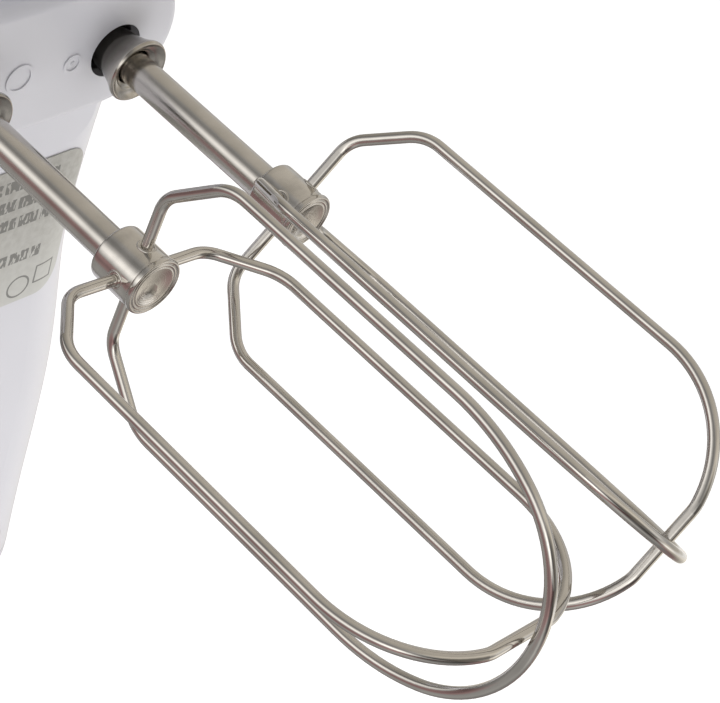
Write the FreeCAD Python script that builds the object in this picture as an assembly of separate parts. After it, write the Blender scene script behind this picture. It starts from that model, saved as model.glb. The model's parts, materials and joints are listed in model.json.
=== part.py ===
"""Hand mixer with two wire beaters, standing on its heel.

Frame: millimetres, +Z from the heel up to the nose, the beaters point along -Y, X is the
width.  The origin is the middle of the flat heel face, on the motor's axis.
Every separate piece of the mixer is one STEP file in parts/.
"""
import FreeCAD, Part

import math
import os

from FreeCAD import Vector

os.makedirs("parts", exist_ok=True)

# ---------------------------------------------------------------- driving dimensions
# Beaters; distances along a beater count from the boss face
axis_height = 150.0          # beater axes above the heel face
beater_pitch = 33.8          # distance between the two beater axes
beater_phase = 84.3          # outer loop of beater 1, degrees from +X towards +Z
beater_offset = 36.0         # beater 2 lags by this angle
wire_radius = 1.0
wire_root_depth = 0.4        # how far a wire's end reaches into its hub
shaft_radius = 3.0           # beater stem
beater_inset = 40.5          # stem length inside the boss
hub_wall = 2.3
hub_start = 39.6
hub_length = 9.6
hub_recess_wall = 0.9
hub_recess_depth = 0.6
first_bend = 14.6            # corner of a loop's first bend, from the beater axis
first_bend_radius = 5.5
shoulder_bend_radius = 8.0
# crown: arcs of (radius, angle reached) from the loop's side, closed by a flat at the tip
inner_loop = dict(radius=23.4, leave=45.2, shoulder=55.0, end=109.0, crown=((20.4, 76), (7.0, 90)))
outer_loop = dict(radius=24.6, leave=45.0, shoulder=55.7, end=103.2, crown=((34.9, 27), (23.0, 90)))
collar_neck_wall = 1.2
collar_flare = 1.9           # the collar's rim beyond its neck
collar_thickness = 1.6
collar_front = 6.5           # front rim of the collar
collar_neck_back = -3.3      # the neck reaches this far inside the boss

# Housing
wall = 2.4
boss_face_y = -34.0
boss_protrusion = 5.0
body_back_y = 29.0
boss_half_height = 14.0
boss_lift = 1.6              # middle of the boss above the beater axes
socket_hole_gap = 1.2        # between a seated collar's neck and the hole in the boss
boss_edge_radius = 2.0
body_corner_radius = 15.0
heel_flare = 5.0             # heel half width beyond the body's at the boss
waist_pinch = 2.5
waist_drop = 42.0            # waist below the beater axes
nose_spring = 12.0           # the nose rounding starts this far above the axes
nose_rise = 41.0             # nose top above the beater axes
nose_roundness = 2.3
heel_thickness = 4.0
heel_edge_radius = 1.2
boss_rings = [(-4.6, 0.8, 2.9, 2.3), (7.0, 0.3, 1.9, 1.4)]  # x, height above the axes, radii
ring_height = 0.25
tongue_half_width = 21.0     # raised tongue of the boss, down the underside
tongue_drop = 25.3
tongue_height = 0.4
tongue_corner_radius = 8.0
label_half_width = 23.0
label_drop = (26.3, 62.0)    # label's top and bottom below the beater axes
label_thickness = 0.25
vent_width = 2.2
vent_pitch = 5.0
vent_start = 26.0

# Handle
handle_half_width = 16.0
handle_edge_radius = 10.0
handle_back_y = 88.0
handle_split_y = 74.0
handle_rise = 21.0           # handle top above the beater axes
handle_low_z = 7.0
gap_front_y = 33.0
gap_back_y = 60.5
gap_low_z = 34.0
gap_drop = 24.0              # top of the finger gap below the beater axes
gap_corner_radius = 12.0

# Controls
eject_travel = 6.0
eject_half_width = 8.0
eject_half_length = 10.0
eject_height = 7.0           # the button above the handle's back
slider_drop = 33.0           # slider at rest below the beater axes
slider_travel = 12.0
slider_half_length = 6.0
slider_half_width = 7.0
turbo_drop = 62.0
turbo_travel = 2.5
turbo_half_length = 8.0
turbo_half_width = 6.0

# Gear train: a two-start worm on the armature shaft drives one wheel on each side
wheel_teeth = 34
worm_starts = 2
worm_pitch_radius = 5.0
addendum = 0.5
dedendum = 0.75
tooth_thickness = 0.85       # at the pitch line, on worm and wheel
wheel_width = 9.0
worm_length = 16.0
spindle_wall = 1.6
bush_wall = 1.6
end_bush_length = 4.5

# Motor
motor_shaft_radius = 3.0
stator_half_width = 25.0
stator_half_depth = 22.0
stator_length = 32.0
coil_overhang = 7.0
armature_radius = 14.5
air_gap = 0.5
commutator_radius = 9.0
commutator_length = 10.0
fan_radius = 21.5
fan_height = 8.0
bearing_radius = 6.5
bearing_length = 6.0
bracket_thickness = 3.0
lower_bracket_half = (29.0, 20.0)
upper_bracket_half = (25.0, 20.0)

# Fits
running_fit = 0.05           # radial, shafts in bushes
sliding_gap = 0.3            # buttons in their openings
seat_gap = 0.1               # fixed pieces in their seats
face_gap = 0.5               # moving faces beside fixed ones
wheel_clearance = 1.8        # worm wheel to the shell
stator_side_room = 3.1       # stator to the shell at the waist

# ---------------------------------------------------------------- derived sizes
half_pitch = beater_pitch / 2
wheel_pitch_radius = half_pitch - worm_pitch_radius
module = 2 * wheel_pitch_radius / wheel_teeth
worm_lead = math.pi * module * worm_starts
lead_angle = math.atan2(worm_lead, 2 * math.pi * worm_pitch_radius)
underside_y = boss_face_y + boss_protrusion
body_mid_y = (underside_y + body_back_y) / 2
body_half_depth = (body_back_y - underside_y) / 2
gear_half_width = half_pitch + wheel_pitch_radius + addendum + wheel_clearance + wall
motor_half_width = stator_half_width + stator_side_room + wall + waist_pinch
boss_half_width = max(gear_half_width, motor_half_width)
waist_half_width = boss_half_width - waist_pinch
heel_half_width = boss_half_width + heel_flare
waist_height = axis_height - waist_drop
nose_start = axis_height + nose_spring
nose_top = axis_height + nose_rise
gap_high_z = axis_height - gap_drop
slider_height = axis_height - slider_drop
turbo_height = axis_height - turbo_drop
hub_radius = shaft_radius + hub_wall
hub_recess_radius = shaft_radius + hub_recess_wall
collar_neck_radius = shaft_radius + collar_neck_wall
collar_radius = collar_neck_radius + collar_flare
socket_hole_radius = collar_neck_radius + socket_hole_gap
beater_sides = {1: -1, 2: 1}

# Drive spindles along the beater axes
spindle_bore = shaft_radius + running_fit
spindle_radius = spindle_bore + spindle_wall
wheel_seat_radius = spindle_radius + 0.6
spindle_front_y = boss_face_y + 3.6
front_bush_y = (-22.0, -16.0)
rear_bush_y = (wheel_width / 2 + 2.0, wheel_width / 2 + 5.5)
spindle_rear_y = rear_bush_y[1] + face_gap
front_plate_y = (front_bush_y[0] + 1.0, front_bush_y[1] - 1.0)
gearbox_low_z = axis_height - 18.5
gearbox_high_z = axis_height + 20.0

# Motor along Z, counted down from the gearbox
upper_bearing_z = (gearbox_low_z - 1.5 - bearing_length, gearbox_low_z - 1.5)
fan_z = (upper_bearing_z[0] - 2.0 - fan_height, upper_bearing_z[0] - 2.0)
stator_high_z = fan_z[0] - 2.0 - coil_overhang
stator_low_z = stator_high_z - stator_length
commutator_z = (stator_low_z - coil_overhang - 1.0 - commutator_length,
                stator_low_z - coil_overhang - 1.0)
brush_z = sum(commutator_z) / 2
lower_bearing_z = (commutator_z[0] - 4.0 - bearing_length, commutator_z[0] - 4.0)
upper_bracket_z = (upper_bearing_z[0], upper_bearing_z[0] + bracket_thickness)
lower_bracket_z = (lower_bearing_z[0], lower_bearing_z[0] + bracket_thickness)

# Screws and cord inlet
screw_places = [(-24.0, 12.0), (24.0, 12.0), (0.0, nose_top - 13.0)]
handle_screw_heights = (gap_low_z + 10.0, turbo_height + 16.0)
cord_hole_radius = 3.6
cord_height = handle_low_z + 24.0
gland_radius = 6.0
gland_length = 14.0

X = Vector(1, 0, 0)
Y = Vector(0, 1, 0)
Z = Vector(0, 0, 1)


# ---------------------------------------------------------------- helpers
def box(x0, x1, y0, y1, z0, z1):
    return Part.makeBox(x1 - x0, y1 - y0, z1 - z0, Vector(x0, y0, z0))


def rod(radius, start, end):
    """Solid cylinder between two points."""
    start, end = Vector(*start), Vector(*end)
    along = end - start
    return Part.makeCylinder(radius, along.Length, start, along)


def tube(outer, inner, start, end):
    return rod(outer, start, end).cut(rod(inner, start, end))


def fuse(shapes):
    """One solid out of touching solids."""
    shapes = list(shapes)
    joined = shapes[0].fuse(shapes[1:]) if len(shapes) > 1 else shapes[0]
    return joined.removeSplitter()


def group(shapes):
    """Several separate solids in one node."""
    solids = [solid for shape in shapes for solid in shape.Solids]
    return Part.makeCompound(solids)


def save(name, shape):
    solids = shape.Solids
    shape = solids[0] if len(solids) == 1 else Part.makeCompound(solids)
    shape.exportStep("parts/%s.step" % name)


def mirrored_x(shape):
    return shape.mirror(Vector(0, 0, 0), X)


def rounded_polygon(points, radii):
    """Closed wire through 3D points with tangent arcs at its corners."""
    count = len(points)
    starts, ends, edges = [], [], []
    for i in range(count):
        corner = points[i]
        before = (points[i - 1] - corner).normalize()
        after = (points[(i + 1) % count] - corner).normalize()
        turn = before.getAngle(after)
        reach = radii[i] / math.tan(turn / 2)
        starts.append(corner + before * reach)
        ends.append(corner + after * reach)
        middle = (before + after).normalize()
        centre = corner + middle * (radii[i] / math.sin(turn / 2))
        edges.append(Part.Arc(starts[i], centre - middle * radii[i], ends[i]).toShape())
    wires = []
    for i in range(count):
        wires.append(edges[i])
        wires.append(Part.LineSegment(ends[i], starts[(i + 1) % count]).toShape())
    return Part.Wire(wires)


def rounded_block(x0, x1, y0, y1, z0, z1, radius, along):
    """Block whose edges parallel to one axis ('x', 'y' or 'z') are rounded."""
    if along == "y":
        corners = [(x0, y0, z0), (x1, y0, z0), (x1, y0, z1), (x0, y0, z1)]
        sweep = Vector(0, y1 - y0, 0)
    elif along == "x":
        corners = [(x0, y0, z0), (x0, y1, z0), (x0, y1, z1), (x0, y0, z1)]
        sweep = Vector(x1 - x0, 0, 0)
    else:
        corners = [(x0, y0, z0), (x1, y0, z0), (x1, y1, z0), (x0, y1, z0)]
        sweep = Vector(0, 0, z1 - z0)
    wire = rounded_polygon([Vector(*c) for c in corners], [radius] * 4)
    return Part.Face(wire).extrude(sweep)


# ---------------------------------------------------------------- body form
def body_half_width(z):
    """Half width of the body without its nose rounding."""
    stations = [(0, heel_half_width), (waist_height * 0.45, heel_half_width - 1.6),
                (waist_height, waist_half_width), (axis_height + 6, boss_half_width),
                (nose_top, boss_half_width)]
    for (z0, w0), (z1, w1) in zip(stations, stations[1:]):
        if z <= z1:
            share = (z - z0) / (z1 - z0)
            smooth = share * share * (3 - 2 * share)
            return w0 + (w1 - w0) * smooth
    return stations[-1][1]


def nose_scale(z, inset):
    top = nose_top - inset
    if z <= nose_start:
        return 1.0
    rise = min((z - nose_start) / (top - nose_start), 1.0)
    return (1 - rise ** nose_roundness) ** (1 / nose_roundness)


def body_section(z, inset):
    """Rounded rectangle around the motor axis at one height."""
    scale = nose_scale(z, inset)
    half_x = (body_half_width(z) - inset) * scale
    half_y = (body_half_depth - inset) * scale
    radius = (body_corner_radius - inset) * scale
    corners = [Vector(sx * half_x, body_mid_y + sy * half_y, z)
               for sx, sy in ((-1, -1), (1, -1), (1, 1), (-1, 1))]
    return rounded_polygon(corners, [radius] * 4)


def body_form(inset, low_z):
    """The body's smooth outer form, set in by the inset, from low_z to the nose."""
    top = nose_top - inset
    nose_shares = [0.0, 0.3, 0.55, 0.75, 0.9, 0.97, 0.995]
    heights = [heel_thickness] + [waist_height * share for share in (0.28, 0.52, 0.76, 1.0)]
    heights += [waist_height + waist_drop * share for share in (0.33, 0.67, 1.0)]
    heights += [nose_start + share * (top - nose_start) for share in nose_shares]
    form = Part.makeLoft([body_section(z, inset) for z in heights], True, False)
    if low_z < heel_thickness:
        base = Part.Face(body_section(heel_thickness, inset))
        form = form.fuse(base.extrude(Vector(0, 0, low_z - heel_thickness)))
    return form


def handle_form(inset, edge_radius):
    """Closed handle loop, rounded along all its edges."""
    high_z, low_z = axis_height + handle_rise - inset, handle_low_z + inset
    back = handle_back_y - inset
    outline = [(5, high_z + 2), (back, high_z - 3), (back - 3, low_z), (5, low_z)]
    corner = [14, 24 - inset, 24 - inset, 14]
    gap = [(gap_front_y - inset, gap_low_z - inset), (gap_front_y - inset, gap_high_z + inset),
           (gap_back_y + inset, gap_high_z + inset), (gap_back_y + inset - 2, gap_low_z - inset)]
    side = handle_half_width - inset
    outer = rounded_polygon([Vector(-side, y, z) for y, z in outline], corner)
    inner = rounded_polygon([Vector(-side, y, z) for y, z in gap],
                            [gap_corner_radius + inset] * 4)
    slab = Part.Face(outer).extrude(Vector(2 * side, 0, 0))
    hole = Part.Face(inner).extrude(Vector(2 * side, 0, 0))
    outside = slab.makeFillet(edge_radius, side_rims(slab, side))
    pierced = slab.cut(hole)
    around_gap = [e for e in side_rims(pierced, side) if on_wire(e, inner)]
    return outside.common(pierced.makeFillet(edge_radius, around_gap))


def side_rims(shape, side):
    return [e for e in shape.Edges if abs(abs(e.CenterOfMass.x) - side) < 1e-3]


def on_wire(edge, wire):
    """Whether an edge on either side of the handle lies over the wire."""
    middle = edge.valueAt((edge.FirstParameter + edge.LastParameter) / 2)
    middle.x = wire.CenterOfMass.x
    return wire.distToShape(Part.Vertex(middle))[0] < 1e-3


def boss_pad(inset, back_y):
    """Stadium pad whose ends are concentric with the beater sockets."""
    half = boss_half_height - inset
    left = half_pitch
    face = boss_face_y + inset
    low, high = axis_height + boss_lift - half, axis_height + boss_lift + half
    mid = axis_height + boss_lift
    edges = [Part.LineSegment(Vector(-left, face, low), Vector(left, face, low)).toShape(),
             Part.Arc(Vector(left, face, low), Vector(left + half, face, mid),
                      Vector(left, face, high)).toShape(),
             Part.LineSegment(Vector(left, face, high), Vector(-left, face, high)).toShape(),
             Part.Arc(Vector(-left, face, high), Vector(-left - half, face, mid),
                      Vector(-left, face, low)).toShape()]
    pad = Part.Face(Part.Wire(edges)).extrude(Vector(0, back_y - face, 0))
    rim = [e for e in pad.Edges if abs(e.CenterOfMass.y - face) < 1e-3]
    return pad.makeFillet(boss_edge_radius, rim)


# ---------------------------------------------------------------- beaters
def beater_place(number):
    """Axis X and the outer loop's angle of one beater."""
    phase = beater_phase if number == 1 else beater_phase - beater_offset - 90
    return beater_sides[number] * half_pitch, phase


def crown_side(size):
    """One side's arcs of a loop's end, and where they stop beside the tip."""
    edges = []
    radius, reached = size["crown"][0][0], 0.0
    centre = Vector(size["radius"] - radius, boss_face_y - size["end"], 0)
    for new_radius, angle in size["crown"]:
        toward = Vector(math.cos(reached), -math.sin(reached), 0)
        centre = centre + toward * (radius - new_radius)
        start = centre + toward * new_radius
        stop = math.radians(angle)
        halfway = (reached + stop) / 2
        middle = centre + Vector(math.cos(halfway), -math.sin(halfway), 0) * new_radius
        end = centre + Vector(math.cos(stop), -math.sin(stop), 0) * new_radius
        edges.append(Part.Arc(start, middle, end).toShape())
        radius, reached = new_radius, stop
    return edges, end


def wire_loop(size):
    """Closed-ended loop in the plane of X, around the beater axis at X = 0, Z = 0."""
    half = [(hub_radius - wire_root_depth, size["leave"]), (first_bend, size["leave"]),
            (size["radius"], size["shoulder"]), (size["radius"], size["end"])]
    corners = [Vector(radius, boss_face_y - distance, 0) for radius, distance in half]
    edges = []
    start = corners[0]
    for i, bend in ((1, first_bend_radius), (2, shoulder_bend_radius)):
        before = (corners[i - 1] - corners[i]).normalize()
        after = (corners[i + 1] - corners[i]).normalize()
        turn = before.getAngle(after)
        reach = bend / math.tan(turn / 2)
        arc_start, arc_end = corners[i] + before * reach, corners[i] + after * reach
        middle = (before + after).normalize()
        centre = corners[i] + middle * (bend / math.sin(turn / 2))
        edges.append(Part.LineSegment(start, arc_start).toShape())
        edges.append(Part.Arc(arc_start, centre - middle * bend, arc_end).toShape())
        start = arc_end
    edges.append(Part.LineSegment(start, corners[3]).toShape())
    crown, tip_side = crown_side(size)
    edges += crown
    turned = [e.mirror(Vector(0, 0, 0), X) for e in reversed(edges)]
    tip = Part.LineSegment(tip_side, Vector(-tip_side.x, tip_side.y, 0)).toShape()
    path = Part.Wire(Part.__sortEdges__(edges + [tip] + turned))
    first = path.OrderedVertexes[0].Point
    profile = Part.Wire(Part.makeCircle(wire_radius, first, X))
    return path.makePipeShell([profile], True, True)


def placed_beater(shape, number, turn=0.0):
    x, phase = beater_place(number)
    shape = shape.copy()
    shape.rotate(Vector(0, 0, 0), Y, -(phase + turn))
    shape.translate(Vector(x, 0, axis_height))
    return shape


def make_beaters():
    face = boss_face_y
    outer = wire_loop(outer_loop)
    inner = wire_loop(inner_loop)
    inner.rotate(Vector(0, 0, 0), Y, 90)
    hub_back = face - hub_start
    hub_front = hub_back - hub_length
    shaft_end = hub_front + hub_recess_depth
    hub = tube(hub_radius, shaft_radius, (0, hub_back, 0), (0, hub_front, 0))
    hub = hub.makeChamfer(0.5, [e for e in hub.Edges
                                if abs(e.CenterOfMass.y - hub_back) < 1e-3
                                and e.BoundBox.XMax > hub_radius - 0.1])
    hub = hub.cut(rod(hub_recess_radius, (0, hub_front - 1, 0), (0, shaft_end, 0)))
    for loop in (outer, inner):
        hub = hub.cut(loop)
    collar_back = face - collar_neck_back
    dish = Part.Face(Part.Wire(Part.makePolygon([
        Vector(shaft_radius, collar_back, 0),
        Vector(collar_neck_radius, collar_back, 0),
        Vector(collar_neck_radius, face - 2.2, 0),
        Vector(collar_radius, face - collar_front + collar_thickness, 0),
        Vector(collar_radius, face - collar_front, 0),
        Vector(collar_radius - 1.0, face - collar_front, 0),
        Vector(shaft_radius, face - collar_front + 2.4, 0),
        Vector(shaft_radius, collar_back, 0)])))
    collar = dish.revolve(Vector(0, 0, 0), Y, 360)
    stem = rod(shaft_radius, (0, face + beater_inset, 0), (0, shaft_end, 0))
    stem = stem.makeChamfer(0.8, [e for e in stem.Edges
                                  if abs(e.CenterOfMass.y - face - beater_inset) < 1e-3])
    for number in beater_sides:
        for name, shape in (("shaft", stem), ("collar", collar), ("hub", hub),
                            ("outer_loop", outer), ("inner_loop", inner)):
            save("beater_%d_%s" % (number, name), placed_beater(shape, number))


# ---------------------------------------------------------------- gear train
def worm_thread(start_number):
    """One start of the worm, a right-hand helical ridge on the Z axis."""
    low = axis_height - worm_length / 2 + 1
    turns_height = worm_length - 2
    root = worm_pitch_radius - dedendum
    tip = worm_pitch_radius + addendum
    flank = (tooth_thickness * 1.6) / 2, 0.5 / 2
    helix = Part.makeHelix(worm_lead, turns_height, worm_pitch_radius)
    profile = Part.Wire(Part.makePolygon([
        Vector(root - 0.4, 0, -flank[0]), Vector(tip, 0, -flank[1]),
        Vector(tip, 0, flank[1]), Vector(root - 0.4, 0, flank[0]),
        Vector(root - 0.4, 0, -flank[0])]))
    ridge = Part.Wire(helix).makePipeShell([profile], True, True)
    # a ridge stands level with the beater axes on both sides of the worm
    phase = -360 * (axis_height - low) / worm_lead + 360.0 * start_number / worm_starts
    ridge.rotate(Vector(0, 0, 0), Z, phase)
    ridge.translate(Vector(0, 0, low))
    return ridge


def make_worm():
    root = worm_pitch_radius - dedendum
    low, high = axis_height - worm_length / 2, axis_height + worm_length / 2
    core = tube(root, motor_shaft_radius, (0, 0, low), (0, 0, high))
    worm = core.fuse([worm_thread(i) for i in range(worm_starts)])
    inside = rod(worm_pitch_radius + addendum + 1, (0, 0, low), (0, 0, high))
    return worm.common(inside)


def worm_wheel(bore):
    """Helical wheel on the Y axis with a gap facing along +X and -X."""
    root = wheel_pitch_radius - dedendum
    tip = wheel_pitch_radius + addendum
    half = wheel_width / 2
    disc = tube(root, bore, (0, -half, 0), (0, half, 0))
    web = tube(root - 2.2, bore + 2.6, (0, half - 2.5, 0), (0, half + 1, 0))
    disc = disc.cut(web)
    drift = half * math.tan(lead_angle)
    base = [(root - 0.3, tooth_thickness * 0.75), (root, tooth_thickness * 0.7),
            (tip, 0.25), (tip, -0.25), (root, -tooth_thickness * 0.7),
            (root - 0.3, -tooth_thickness * 0.75)]
    points = [Vector(r, -half, t + drift) for r, t in base]
    tooth = Part.Face(Part.Wire(Part.makePolygon(points + points[:1])))
    tooth = tooth.extrude(Vector(0, wheel_width, -2 * drift))
    teeth = []
    for i in range(wheel_teeth):
        one = tooth.copy()
        one.rotate(Vector(0, 0, 0), Y, 360.0 * (i + 0.5) / wheel_teeth)
        teeth.append(one)
    return disc.fuse(teeth).removeSplitter()


def make_spindles():
    wheel = worm_wheel(wheel_seat_radius)
    for number, side in beater_sides.items():
        x = side * half_pitch
        at = (x, spindle_front_y, axis_height)
        body = rod(spindle_radius, at, (x, spindle_rear_y, axis_height))
        shoulder = rod(wheel_seat_radius, (x, -wheel_width / 2, axis_height),
                       (x, wheel_width / 2, axis_height))
        flange = rod(spindle_radius + 2.2, (x, -wheel_width / 2 - 1.5, axis_height),
                     (x, -wheel_width / 2, axis_height))
        bore = rod(spindle_bore, (x, spindle_front_y - 1, axis_height),
                   (x, spindle_rear_y + 1, axis_height))
        save("drive_spindle_%d" % number, fuse([body, shoulder, flange]).cut(bore))
        placed = wheel.copy()
        placed.translate(Vector(x, 0, axis_height))
        save("worm_wheel_%d" % number, placed)
        clip_y = spindle_front_y + 2.0
        clip = tube(spindle_radius + 1.3, spindle_radius, (x, clip_y, axis_height),
                    (x, clip_y + 1.0, axis_height))
        mouth = box(x - 1.6, x + 1.6, clip_y - 1, clip_y + 2,
                    axis_height + spindle_radius - 1, axis_height + spindle_radius + 3)
        save("spindle_clip_%d" % number, clip.cut(mouth))


def make_gearbox():
    """Two plates that carry the spindle bushes and the worm's end bush."""
    front0, front1 = front_plate_y
    rear0, rear1 = rear_bush_y
    top_plate_z = axis_height + 15.5
    side_x = half_pitch + 8.5
    low_z, high_z = gearbox_low_z, gearbox_high_z
    post_x, post_z = 7.2, axis_height - 14.8
    front = box(-side_x, side_x, front0, front1, low_z, high_z)
    top = box(-10, 10, front1, rear0, top_plate_z, top_plate_z + end_bush_length)
    cover = box(-side_x, side_x, rear0, rear1, low_z, high_z)
    clear = [rod(spindle_radius + bush_wall, (s * half_pitch, front0 - 1, axis_height),
                 (s * half_pitch, rear1 + 1, axis_height)) for s in (-1, 1)]
    end_bush_hole = rod(motor_shaft_radius + bush_wall, (0, 0, top_plate_z - 1),
                        (0, 0, top_plate_z + 6))
    posts = [rod(2.6, (s * post_x, front1, post_z), (s * post_x, rear0, post_z))
             for s in (-1, 1)]
    screw_places = [(s * post_x, post_z) for s in (-1, 1)]
    screw_places += [(s * 7.0, axis_height + 17.7) for s in (-1, 1)]
    holes = [rod(1.1, (x, rear0 - 6, z), (x, rear1 + 1, z)) for x, z in screw_places]
    frame = fuse([front, top] + posts)
    for cutter in clear + [end_bush_hole] + holes:
        frame = frame.cut(cutter)
    plate = cover
    for cutter in clear + [rod(1.3, (x, rear0 - 1, z), (x, rear1 + 1, z))
                           for x, z in screw_places]:
        plate = plate.cut(cutter)
    save("gearbox_frame", frame)
    save("gearbox_cover", plate)
    screws = []
    for x, z in screw_places:
        shank = rod(1.05, (x, rear0 - 5, z), (x, rear1 + 0.2, z))
        head = rod(2.2, (x, rear1, z), (x, rear1 + 1.5, z))
        screws.append(shank.fuse(head).cut(box(x - 3, x + 3, rear1 + 1, rear1 + 2, z - 0.25, z + 0.25)))
    save("gearbox_screws", group(screws))
    for name, (y0, y1) in (("front_spindle_bushes", front_bush_y), ("rear_spindle_bushes", rear_bush_y)):
        save(name, group([tube(spindle_radius + bush_wall, spindle_radius + running_fit,
                               (s * half_pitch, y0, axis_height), (s * half_pitch, y1, axis_height))
                          for s in (-1, 1)]))
    save("worm_end_bush", tube(motor_shaft_radius + bush_wall, motor_shaft_radius + running_fit,
                               (0, 0, top_plate_z), (0, 0, top_plate_z + end_bush_length)))


# ---------------------------------------------------------------- motor
def make_rotor():
    shaft_top = gearbox_high_z - 0.5
    save("motor_shaft", rod(motor_shaft_radius, (0, 0, lower_bearing_z[0] - 2), (0, 0, shaft_top)))
    core = tube(armature_radius, motor_shaft_radius, (0, 0, stator_low_z), (0, 0, stator_high_z))
    slot_count = 12
    slot_root = 7.5
    slots = []
    for i in range(slot_count):
        slot = box(slot_root, armature_radius - 1.6, -1.5, 1.5, stator_low_z - 1, stator_high_z + 1)
        mouth = box(armature_radius - 2, armature_radius + 1, -0.6, 0.6,
                    stator_low_z - 1, stator_high_z + 1)
        for cutter in (slot, mouth):
            cutter.rotate(Vector(0, 0, 0), Z, 360.0 * i / slot_count)
            slots.append(cutter)
    save("armature_core", core.cut(slots))
    windings = []
    winding_height = coil_overhang - 0.5
    for z0, z1 in ((stator_low_z - winding_height, stator_low_z),
                   (stator_high_z, stator_high_z + winding_height)):
        end = tube(armature_radius - 1.8, motor_shaft_radius + 1.4, (0, 0, z0), (0, 0, z1))
        far_z = z0 if z0 < stator_low_z else z1
        outer_rim = [e for e in end.Edges if abs(e.CenterOfMass.z - far_z) < 1e-3
                     and e.BoundBox.XMax > armature_radius - 2]
        windings.append(end.makeFillet(2.5, outer_rim))
    save("armature_windings", group(windings))
    commutator = tube(commutator_radius, motor_shaft_radius, (0, 0, commutator_z[0]),
                      (0, 0, commutator_z[1]))
    gaps = []
    segment_count = 24
    for i in range(segment_count):
        gap = box(commutator_radius - 0.6, commutator_radius + 1, -0.2, 0.2,
                  commutator_z[0] - 1, commutator_z[1] + 1)
        gap.rotate(Vector(0, 0, 0), Z, 360.0 * (i + 0.5) / segment_count)
        gaps.append(gap)
    save("commutator", commutator.cut(gaps))
    blade_count = 11
    plate = tube(fan_radius, 7.0, (0, 0, fan_z[1] - 1.4), (0, 0, fan_z[1]))
    hub = tube(7.5, motor_shaft_radius, (0, 0, fan_z[0]), (0, 0, fan_z[1]))
    blades = []
    for i in range(blade_count):
        blade = box(7.0, fan_radius, -0.7, 0.7, fan_z[0], fan_z[1] - 1.2)
        blade.rotate(Vector(7, 0, 0), Z, 18)
        blade.rotate(Vector(0, 0, 0), Z, 360.0 * i / blade_count)
        blades.append(blade)
    save("cooling_fan", fuse([hub, plate] + blades).common(
        rod(fan_radius, (0, 0, fan_z[0]), (0, 0, fan_z[1]))))
    save("worm", make_worm())


def make_stator():
    outer = rounded_block(-stator_half_width, stator_half_width, -stator_half_depth,
                          stator_half_depth, stator_low_z, stator_high_z, 8, "z")
    bore = rod(armature_radius + air_gap, (0, 0, stator_low_z - 1), (0, 0, stator_high_z + 1))
    window = rounded_block(-19.5, 19.5, -12.5, 12.5, stator_low_z - 1, stator_high_z + 1, 3, "z")
    poles = box(-13, 13, -stator_half_depth + 2, stator_half_depth - 2, stator_low_z, stator_high_z)
    core = outer.cut(window).fuse(poles).removeSplitter().cut(bore)
    save("stator_core", core)
    coils = []
    for side in (-1, 1):
        outer_coil = rounded_block(15.4, 19.2, -11.5, 11.5, stator_low_z - coil_overhang,
                                   stator_high_z + coil_overhang, 1.5, "z")
        coils.append(outer_coil if side == 1 else mirrored_x(outer_coil))
    ends = []
    for side in (-1, 1):
        for z0, z1 in ((stator_low_z - coil_overhang, stator_low_z - 0.5),
                       (stator_high_z + 0.5, stator_high_z + coil_overhang)):
            y0, y1 = (15.2, 20.5) if side == 1 else (-20.5, -15.2)
            ends.append(rounded_block(-16, 16, y0, y1, z0, z1, 1.5, "z"))
    save("field_coils", group(coils))
    save("coil_ends", group(ends))


def bracket(z0, z1, half):
    half_x, half_y = half
    window_radius = half_y - 8.0
    plate = rounded_block(-half_x, half_x, -half_y, half_y, z0, z1, 6, "z")
    seat = rod(bearing_radius, (0, 0, z0 - 5), (0, 0, z1 + 5))
    ring = tube(bearing_radius + 2, bearing_radius, (0, 0, z0), (0, 0, z1 + 3))
    slots = []
    for side in (-1, 1):
        slots.append(rounded_block(side * half_x * 0.72 - 4, side * half_x * 0.72 + 4, -window_radius,
                                   window_radius, z0 - 1, z1 + 1, 3, "z"))
    return plate.cut(seat).cut(slots).fuse(ring).removeSplitter()


def make_motor_mounts():
    save("lower_bearing_bracket", bracket(*lower_bracket_z, lower_bracket_half))
    save("upper_bearing_bracket", bracket(*upper_bracket_z, upper_bracket_half))
    for name, (z0, z1) in (("lower_motor_bearing", lower_bearing_z),
                           ("upper_motor_bearing", upper_bearing_z)):
        save(name, tube(bearing_radius, motor_shaft_radius + running_fit, (0, 0, z0), (0, 0, z1)))
    holders, brushes, springs = [], [], []
    for side in (-1, 1):
        inner_x, outer_x = commutator_radius + 1.5, commutator_radius + 15
        tube_shape = box(inner_x, outer_x, -4.4, 4.4, brush_z - 3.6, brush_z + 3.6).cut(
            box(inner_x - 1, outer_x - 1, -3.3, 3.3, brush_z - 2.6, brush_z + 2.6))
        brush = box(commutator_radius + 0.1, commutator_radius + 8, -3.2, 3.2,
                    brush_z - 2.5, brush_z + 2.5)
        spring = coil_spring(1.9, 0.3, outer_x - 1.0 - commutator_radius - 8.0, 4)
        spring.rotate(Vector(0, 0, 0), Y, 90)
        spring.translate(Vector(commutator_radius + 8.0, 0, brush_z))
        foot = box(inner_x + 2, outer_x - 2, -3, 3, lower_bracket_z[1], brush_z - 3.6)
        holder = tube_shape.fuse(foot).removeSplitter()
        for shape, store in ((holder, holders), (brush, brushes), (spring, springs)):
            store.append(shape if side == 1 else mirrored_x(shape))
    save("brush_holders", group(holders))
    save("carbon_brushes", group(brushes))
    save("brush_springs", group(springs))


def coil_spring(radius, wire, length, turns):
    """Closed helix of round wire standing on Z = 0."""
    rise = length - 2 * wire
    helix = Part.makeHelix(rise / turns, rise, radius)
    profile = Part.Wire(Part.makeCircle(wire, Vector(radius, 0, 0), Y))
    coil = Part.Wire(helix).makePipeShell([profile], True, True)
    coil.translate(Vector(0, 0, wire))
    return coil


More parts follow.
